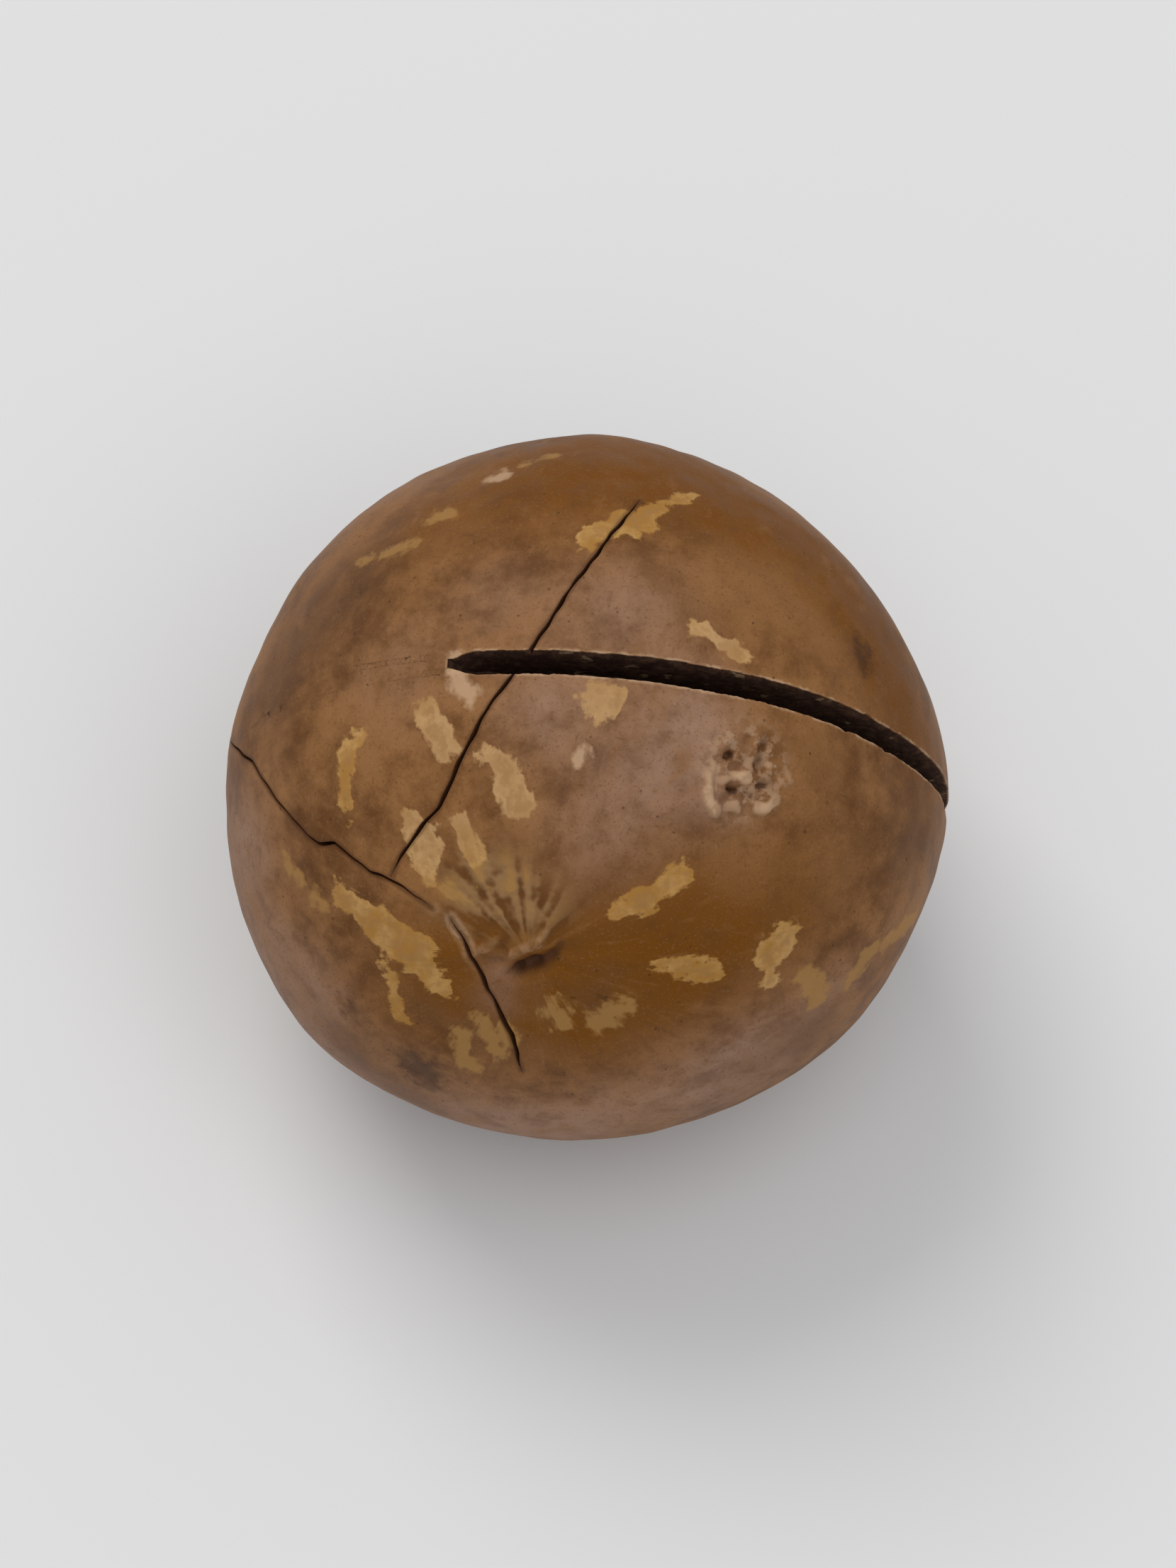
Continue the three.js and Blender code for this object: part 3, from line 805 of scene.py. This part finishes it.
RISES = {
    # how a share follows a noise or a field: value from, value to, share at the one, at the other
    "light brown": (0.35, 0.63, 0.0, 1.0),
    "ochre": (0.3, 0.62, 0.62, 1.0),
    "bloom_and_sheen": (0.32, 0.62, 0.5, 1.0),
    "bloom_and_sheen streaks": (0.3, 0.6, 0.75, 1.0),
    "pores": (0.15, 0.05, 0.0, 1.0),
    "porous": (0.5, 0.6, 0.0, 1.0),
    "stipple": (0.42, 0.62, 0.0, 1.0),
    "streaks": (0.43, 0.53, 0.0, 1.0),
    "streak tops": (0.53, 0.62, 0.0, 1.0),
    "streak relief": (0.42, 0.6, 0.0, 1.0),
    "deep gold": (0.35, 0.62, 0.0, 1.0),
    "fleck middle": (0.14, 0.36, 0.0, 1.0),
    "thin gold": (0.4, 0.6, 0.15, 0.6),
    "stain": (0.25, 1.1, 0.0, 0.7),
    "broken": (0.38, 0.58, 0.0, 1.0),
    "crust": (0.56, 0.42, 0.0, 0.75),
    "pit shade": (0.4, 0.6, 0.2, 0.75),
    "ridges": (0.0, 0.17, 0.0, 1.0),
    "pits": (0.02, 0.22, 0.0, 0.75),
    "folds": (0.03, 0.15, 0.0, 1.0),
    "hollows": (-0.05, -0.4, 0.0, 0.9),
    "below skin": (0.02, 0.08, 0.0, 1.0),
    "rubbed edge": (0.2, 0.08, 0.0, 1.0),
    "rubbed parts": (0.4, 0.6, 0.1, 0.7),
    "lip": (0.42, 0.2, 0.0, 0.55),
    "lip parts": (0.4, 0.55, 0.4, 1.0),
    "crack": (0.2, 0.06, 0.0, 0.55),
    "wall": (0.42, 0.66, 0.0, 1.0),
    "wall flecks": (0.64, 0.7, 0.0, 0.8),
    "inside cut": (0.06, 0.01, 0.0, 1.0),
    "roughness": (0.3, 0.7, 0.45, 0.55),
}
MOTTLES = (
    # noise, its value from and to, the share of the colour at the end, colour
    ("streak", 0.54, 0.74, 0.4, BROWN_DARK),
    ("streak", 0.46, 0.28, 0.4, BROWN_LIGHT),
    ("fine", 0.56, 0.72, 0.4, BROWN_DARK),
    ("grain", 0.60, 0.68, 0.35, BROWN_DARK),
    ("grain", 0.40, 0.33, 0.15, BLOOM_AND_SHEEN),
)
SHARES = {
    # how much of a colour is laid over what is under it
    "tan": 0.65,
    "bloom_and_sheen": 0.85,
    "umber_and_shade": 0.65,
    "pores": 0.6,
    "streaked": 0.8,
    "stipple": 0.35,
    "faded": 0.4,
    "faint_gold": 0.7,
    "gold": 0.92,
    "pale_and_glints": 0.75,
}
FLECK_FRAYS = (
    # noise, how far it moves a fleck's outline in and out (mm)
    ("outline", 1.2),
    ("fingers", 0.8),
    ("fine", 0.24),
)
FLECK_SOFTNESS = {"gold": 0.09, "faint_gold": 0.16, "pale_and_glints": 0.2}
STAIN_FRAY = 1.4
RIDGE_PALENESS = (0.55, 0.3)  # what its breaks add, and the least
FOLD_PALENESS = (0.18, 0.1)
EDGE_FRAY = 0.16
PORE_SCALE = 2.2
BUMP_DEPTH = 0.025
BUMPS = (
    # noise or mark, its height as a share of the depth
    ("streak", 0.5),
    ("fine", 0.4),
    ("flecks", 0.5),
    ("streaks", 2.5),
    ("pores", -0.8),
    ("tooth", 0.2),
)
FLECK_ROUGHNESS = 0.08
BLOOM_AND_SHEEN_ROUGHNESS = 0.12
WALL_ROUGHNESS = 0.85
GLOSS = 0.08
SHARP_EDGE = np.radians(50)


class Nodes:
    """Makes the nodes of one material, and gives back the output of each."""

    def __init__(self, material):
        self.tree = material.node_tree

    def add(self, kind, inputs=(), **settings):
        """A new node of a kind, with its settings and what its sockets are fed."""
        made = self.tree.nodes.new(kind)
        for key, value in settings.items():
            setattr(made, key, value)
        for key, value in dict(inputs).items():
            self.feed(made.inputs[key], value)
        return made

    def feed(self, socket, value):
        """Links another node's output to a socket, or sets the socket's own value."""
        if isinstance(value, bpy.types.NodeSocket):
            self.tree.links.new(value, socket)
        else:
            socket.default_value = value

    def maths(self, kind, *values):
        """One step of arithmetic."""
        return self.add("ShaderNodeMath", enumerate(values), operation=kind).outputs[0]

    def times(self, first, second):
        """first * second."""
        return self.maths("MULTIPLY", first, second)

    def scaled_onto(self, value, scale, base):
        """value * scale + base."""
        return self.maths("MULTIPLY_ADD", value, scale, base)

    def blend(self, first, second, share):
        """first * share + second * (1 - share)."""
        return self.scaled_onto(first, share, self.times(second, 1 - share))

    def centred(self, value, height):
        """A noise value moved from 0 to 1 into -height / 2 to height / 2."""
        return self.scaled_onto(value, height, -height / 2)

    def field(self, name):
        """A field that the mesh keeps."""
        return self.add("ShaderNodeAttribute", attribute_name=name).outputs["Fac"]

    def noise(self, vector, scale, detail, roughness):
        """Noise from 0 to 1, as a sum of ever finer noises."""
        inputs = {"Vector": vector, "Scale": scale, "Detail": detail, "Roughness": roughness}
        return self.add("ShaderNodeTexNoise", inputs).outputs["Fac"]

    def rise(self, value, low, high, least=0.0, most=1.0):
        """least at low, most at high, and a smooth 3t^2 - 2t^3 between them."""
        inputs = {"Value": value, "From Min": low, "From Max": high, "To Min": least, "To Max": most}
        return self.add("ShaderNodeMapRange", inputs, interpolation_type="SMOOTHSTEP").outputs[0]

    def mix(self, share, first, second):
        """The first colour with a share of the second laid over it. The node's sockets for colours
        are its inputs 6 and 7 and its output 2."""
        made = self.add("ShaderNodeMix", {"Factor": share}, data_type="RGBA")
        for socket, value in zip(made.inputs[6:8], (first, second)):
            self.feed(socket, value if isinstance(value, bpy.types.NodeSocket) else (*value, 1.0))
        return made.outputs[2]


def shell_noises(make, place, rays):
    """The noises of the skin, by name."""
    noises = {name: make.noise(place, *row) for name, row in SPACE_NOISES.items()}
    noises.update({name: make.noise(rays, *row) for name, row in RAY_NOISES.items()})
    return noises


def shell_colour(make, place, noises, marks):
    """Dark to light brown by noise, then the clouds, streaks and grain over it, and pores."""
    middle = noises["middle"]
    brown = make.blend(noises["broad"], middle, BROAD_SHARE)
    colour = make.mix(make.rise(brown, *RISES["light brown"]), BROWN_DARK, BROWN_LIGHT)
    ochre = make.times(make.field("ochre"), make.rise(middle, *RISES["ochre"]))
    colour = make.mix(ochre, colour, OCHRE)
    colour = make.mix(make.times(make.field("tan"), SHARES["tan"]), colour, BROWN_LIGHT)
    # The bloom, partly painted sheen and painted reflection, broken up by streaks
    streaked = make.rise(noises["streak"], *RISES["bloom_and_sheen streaks"])
    uneven = make.times(make.rise(middle, *RISES["bloom_and_sheen"]), streaked)
    marks["bloom_and_sheen"] = make.times(make.field("bloom_and_sheen"), uneven)
    colour = make.mix(make.times(marks["bloom_and_sheen"], SHARES["bloom_and_sheen"]), colour, BLOOM_AND_SHEEN)
    # Umber patches, partly painted shade
    colour = make.mix(make.times(make.field("umber_and_shade"), SHARES["umber_and_shade"]), colour, UMBER_AND_SHADE)
    for name, low, high, share, tint in MOTTLES:
        colour = make.mix(make.rise(noises[name], low, high, 0.0, share), colour, tint)
    from_pore = make.add("ShaderNodeTexVoronoi", {"Vector": place, "Scale": PORE_SCALE}).outputs["Distance"]
    some = make.rise(noises["porous"], *RISES["porous"])
    marks["pores"] = make.times(make.rise(from_pore, *RISES["pores"]), some)
    return make.mix(make.times(marks["pores"], SHARES["pores"]), colour, STAIN)


def with_streaks(make, colour, noises, marks):
    """Fine light and golden streaks that run up from the nub, with a relief of their own."""
    combed = make.blend(noises["comb"], noises["lumps"], COMB_SHARE)
    streaks = make.mix(make.rise(combed, *RISES["streaks"]), BROWN_DARK, STREAK)
    streaks = make.mix(make.rise(combed, *RISES["streak tops"]), streaks, GOLD_FAINT)
    marks["streaks"] = make.times(make.field("streaked"), make.rise(combed, *RISES["streak relief"]))
    return make.mix(make.times(make.field("streaked"), SHARES["streaked"]), colour, streaks)


def frayed_fleck(make, name, noises):
    """How far inside a fleck a point lies, with an uneven outline and fingers along the rays."""
    inside = make.field(name)
    for noise, reach in FLECK_FRAYS:
        inside = make.maths("ADD", inside, make.centred(noises[noise], reach))
    return inside


def fleck_gold(make, inside, noises):
    """Gold, deeper in parts and stippled, paler where it has faded and thin in its middle."""
    gold = make.mix(make.rise(noises["middle"], *RISES["deep gold"]), GOLD, GOLD_DEEP)
    stipple = make.rise(noises["fine"], *RISES["stipple"])
    gold = make.mix(make.times(stipple, SHARES["stipple"]), gold, GOLD_DEEP)
    gold = make.mix(make.times(make.field("faded"), SHARES["faded"]), gold, PALE)
    worn = make.rise(noises["crumb"], *RISES["thin gold"])
    return make.mix(make.times(make.rise(inside, *RISES["fleck middle"]), worn), gold, GOLD_THIN)


def with_flecks(make, colour, noises, marks):
    """The faint and golden flecks, and pale strokes that are partly painted glints, each with its own soft
    edge.
    """
    inside = {name: frayed_fleck(make, name, noises) for name in FLECK_SOFTNESS}
    mask = {name: make.rise(inside[name], -soft, soft) for name, soft in FLECK_SOFTNESS.items()}
    # The pale strokes are partly painted glints
    tints = {"faint_gold": GOLD_FAINT, "gold": fleck_gold(make, inside["gold"], noises), "pale_and_glints": PALE}
    for name, tint in tints.items():
        colour = make.mix(make.times(mask[name], SHARES[name]), colour, tint)
    golden = make.maths("MAXIMUM", mask["gold"], mask["faint_gold"])
    marks["flecks"] = make.maths("MAXIMUM", golden, mask["pale_and_glints"])
    return colour


def with_scar_and_nub(make, colour, noises):
    """Stains, the pale crust of the scar with its ridges, painted shade round and in its pits, and pale
    folds with painted shade in the hollows.
    """
    crumb = noises["crumb"]
    stained = make.maths("ADD", make.field("stain"), make.centred(crumb, STAIN_FRAY))
    colour = make.mix(make.rise(stained, *RISES["stain"]), colour, STAIN)
    crust = make.times(make.field("crust"), make.rise(crumb, *RISES["crust"]))
    colour = make.mix(crust, colour, CRUST)
    shade = make.times(make.field("pit_shade"), make.rise(crumb, *RISES["pit shade"]))
    colour = make.mix(shade, colour, BROWN_DARK)
    broken = make.rise(crumb, *RISES["broken"])
    ridges = make.rise(make.field("ridges"), *RISES["ridges"])
    colour = make.mix(make.times(ridges, make.scaled_onto(broken, *RIDGE_PALENESS)), colour, PALE)
    # Painted shade in the pits and grooves
    colour = make.mix(make.rise(make.field("pits"), *RISES["pits"]), colour, HOLLOW_SHADE)
    folds = make.rise(make.field("folds"), *RISES["folds"])
    colour = make.mix(make.times(folds, make.scaled_onto(broken, *FOLD_PALENESS)), colour, PALE)
    # Painted shade in the hollows of the nub
    return make.mix(make.rise(make.field("folds"), *RISES["hollows"]), colour, HOLLOW_SHADE)


def with_cuts(make, colour, noises, marks):
    """Brown inside the cracks, charred walls darkened with painted shade and with paler specks in the cut,
    and rubbed edges.
    """
    edge = make.scaled_onto(noises["fine"], EDGE_FRAY, make.field("from_edge"))
    parts = make.rise(noises["outline"], *RISES["rubbed parts"])
    colour = make.mix(make.times(make.rise(edge, *RISES["rubbed edge"]), parts), colour, PALE)
    from_crack = make.field("from_crack")
    lip = make.times(make.field("lipped"), make.rise(from_crack, *RISES["lip"]))
    lip = make.times(lip, make.rise(noises["crumb"], *RISES["lip parts"]))
    colour = make.mix(lip, colour, PALE)
    colour = make.mix(make.rise(from_crack, *RISES["crack"]), colour, CRACK_BROWN)
    below = make.rise(make.field("below_skin"), *RISES["below skin"])
    colour = make.mix(below, colour, CRACK_BROWN)
    # Charred walls with painted shade, lighter in parts
    wall = make.mix(make.rise(noises["wall"], *RISES["wall"]), CHARRED_AND_SHADE, WALL)
    wall = make.mix(make.rise(noises["specks"], *RISES["wall flecks"]), wall, WALL_FLECK)
    marks["inside cut"] = make.times(below, make.rise(make.field("from_edge"), *RISES["inside cut"]))
    return make.mix(marks["inside cut"], colour, wall)


def shell_bump(make, layers):
    """The skin's fine relief: the sum of noises and marks, each times its height."""
    height = 0.0
    for name, share in BUMPS:
        height = make.scaled_onto(layers[name], share, height)
    return make.add("ShaderNodeBump", {"Height": height, "Strength": 1.0, "Distance": BUMP_DEPTH * MM})


def shell_roughness(make, noises, marks):
    """Satin, duller on flecks and on the bloom with its painted sheen, and dull inside the cut."""
    rough = make.rise(noises["middle"], *RISES["roughness"])
    rough = make.scaled_onto(marks["flecks"], FLECK_ROUGHNESS, rough)
    rough = make.scaled_onto(marks["bloom_and_sheen"], BLOOM_AND_SHEEN_ROUGHNESS, rough)
    return make.maths("MAXIMUM", rough, make.times(marks["inside cut"], WALL_ROUGHNESS))


def shell_material():
    """The material of the whole shell, from where each point lies and the fields kept there. The
    marks are the masks that the relief and the roughness need too."""
    material = bpy.data.materials.new("roasted_shell")
    material.use_nodes = True
    make = Nodes(material)
    make.tree.nodes.clear()
    coordinates = make.add("ShaderNodeTexCoord").outputs["Object"]
    place = make.add("ShaderNodeMapping", {"Vector": coordinates, "Scale": (1 / MM,) * 3}).outputs[0]
    rays = make.add("ShaderNodeAttribute", attribute_name="rays").outputs["Vector"]
    noises, marks = shell_noises(make, place, rays), {}
    colour = shell_colour(make, place, noises, marks)
    colour = with_streaks(make, colour, noises, marks)
    colour = with_flecks(make, colour, noises, marks)
    colour = with_scar_and_nub(make, colour, noises)
    colour = with_cuts(make, colour, noises, marks)
    shader = make.add("ShaderNodeBsdfPrincipled", {
        "Base Color": colour,
        "Roughness": shell_roughness(make, noises, marks),
        "Specular IOR Level": GLOSS,
        "Normal": shell_bump(make, noises | marks).outputs[0]})
    output = make.add("ShaderNodeOutputMaterial")
    make.tree.links.new(shader.outputs[0], output.inputs["Surface"])
    return material


nut.data.materials.clear()
nut.data.materials.append(shell_material())
nut.data.polygons.foreach_set("use_smooth", np.ones(len(nut.data.polygons), bool))
nut.data.set_sharp_from_angle(angle=SHARP_EDGE)


# The finished nut in its place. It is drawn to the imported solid's box, so that the two agree to the
# last digit, and stands for the solid.
def set_down(mesh):
    """Moves each point: low + (point - own low) * box size / own size."""
    low, high = (np.array(corner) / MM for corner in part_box("nut"))
    own = read_points(mesh)
    own_low, own_high = own.min(0), own.max(0)
    placed = low + (own - own_low) * (high - low) / (own_high - own_low)
    mesh.vertices.foreach_set("co", (placed * MM).ravel())
    mesh.update()


set_down(nut.data)
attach(nut, "root")
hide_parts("nut")


# The table. A plain pale sheet under the nut, wide enough to fill every view. From here on,
# lengths are in metres.
FLOOR_HALF = 1.2
FLOOR_COLOUR = (0.80, 0.80, 0.79, 1.0)
FLOOR_ROUGHNESS = 0.7

floor_mesh = bpy.data.meshes.new("table")
corners = np.array([[-1, -1, 0], [1, -1, 0], [1, 1, 0], [-1, 1, 0]]) * FLOOR_HALF
floor_mesh.from_pydata(corners.tolist(), [], [(0, 1, 2, 3)])
table = bpy.data.objects.new("table", floor_mesh)
bpy.context.scene.collection.objects.link(table)
floor_material = bpy.data.materials.new("pale_table")
floor_material.use_nodes = True
floor_shader = floor_material.node_tree.nodes["Principled BSDF"]
floor_shader.inputs["Base Color"].default_value = FLOOR_COLOUR
floor_shader.inputs["Roughness"].default_value = FLOOR_ROUGHNESS
table.data.materials.append(floor_material)


# The light and the camera. Soft daylight from the upper left, with a pale sky all round, and a
# camera that looks down on the nut as the photograph does.
NUT_MIDDLE = np.array([0.0, 0.0, 0.0120])
VIEW_DISTANCE = 0.326
VIEW_LENS = 212.0  # millimetres, as lenses are
NEAR_CLIP = 0.01
LIGHTS = (
    # name, bearing, height (degrees), distance, size (m), power (W), colour
    ("window", 128, 56, 1.0, 0.55, 3.4, (1.0, 0.98, 0.95)),
    ("ceiling", -60, 66, 1.2, 1.0, 3.8, (0.99, 0.99, 1.0)),
)
SKY_COLOUR = (0.93, 0.95, 1.0, 1.0)
SKY_STRENGTH = 0.50


def look_from(thing, position, target):
    """Puts a light or camera at a position, facing the target."""
    thing.location = position
    thing.rotation_euler = (Vector(target) - Vector(position)).to_track_quat("-Z", "Y").to_euler()


def soft_light(name, bearing, height, distance, size, power, colour):
    """A square panel of light that faces the nut."""
    data = bpy.data.lights.new(name, "AREA")
    data.shape = "SQUARE"
    data.size = size
    data.energy = power
    data.color = colour
    panel = bpy.data.objects.new(name, data)
    panel.visible_camera = False
    bpy.context.scene.collection.objects.link(panel)
    look_from(panel, NUT_MIDDLE + bearing_to(bearing, height) * distance, NUT_MIDDLE)


for light in LIGHTS:
    soft_light(*light)

sky = bpy.data.worlds.new("sky")
sky.use_nodes = True
sky.node_tree.nodes["Background"].inputs["Color"].default_value = SKY_COLOUR
sky.node_tree.nodes["Background"].inputs["Strength"].default_value = SKY_STRENGTH
bpy.context.scene.world = sky
bpy.context.scene.view_settings.view_transform = "Standard"

camera = bpy.data.objects.new("camera", bpy.data.cameras.new("camera"))
camera.data.lens = VIEW_LENS
camera.data.clip_start = NEAR_CLIP
bpy.context.scene.collection.objects.link(camera)
look_from(camera, NUT_MIDDLE + bearing_to(VIEW_BEARING, VIEW_HEIGHT) * VIEW_DISTANCE, NUT_MIDDLE)
bpy.context.scene.camera = camera
